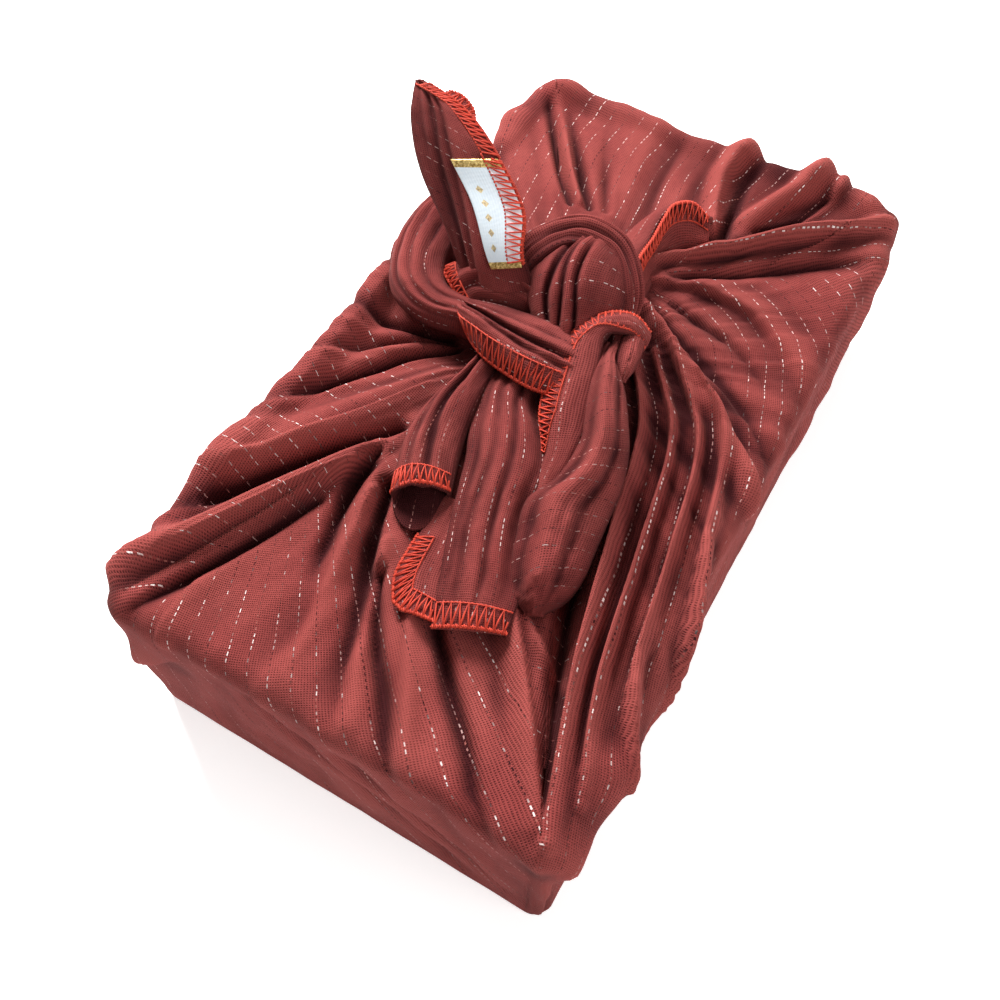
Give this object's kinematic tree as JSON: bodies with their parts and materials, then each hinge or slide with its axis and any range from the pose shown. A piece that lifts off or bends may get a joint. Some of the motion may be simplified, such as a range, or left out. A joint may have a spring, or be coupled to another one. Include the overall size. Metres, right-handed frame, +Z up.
{
  "type": "furoshiki wrap",
  "caption": "Cloth furoshiki gathered over a rectangular box, its corners knotted together on top, with an overlocked edge and a small woven side label.",
  "frame": {"origin": "on the surface the bundle rests on, under the middle of the wrapped box", "axes": "+Y along the bundle's length towards its plainer end, +X across it, +Z up through the knot"},
  "size_m": [0.1506, 0.2629, 0.1231],
  "materials": {
    "cloth": "brick red cotton gauze with fine metallic dashed stripes and a red overlocked edge",
    "label": "pale satin weave with gold thread ends"
  },
  "bodies": {
    "root": {"cloth": "cloth", "label": "label"}
  },
  "joints": []
}
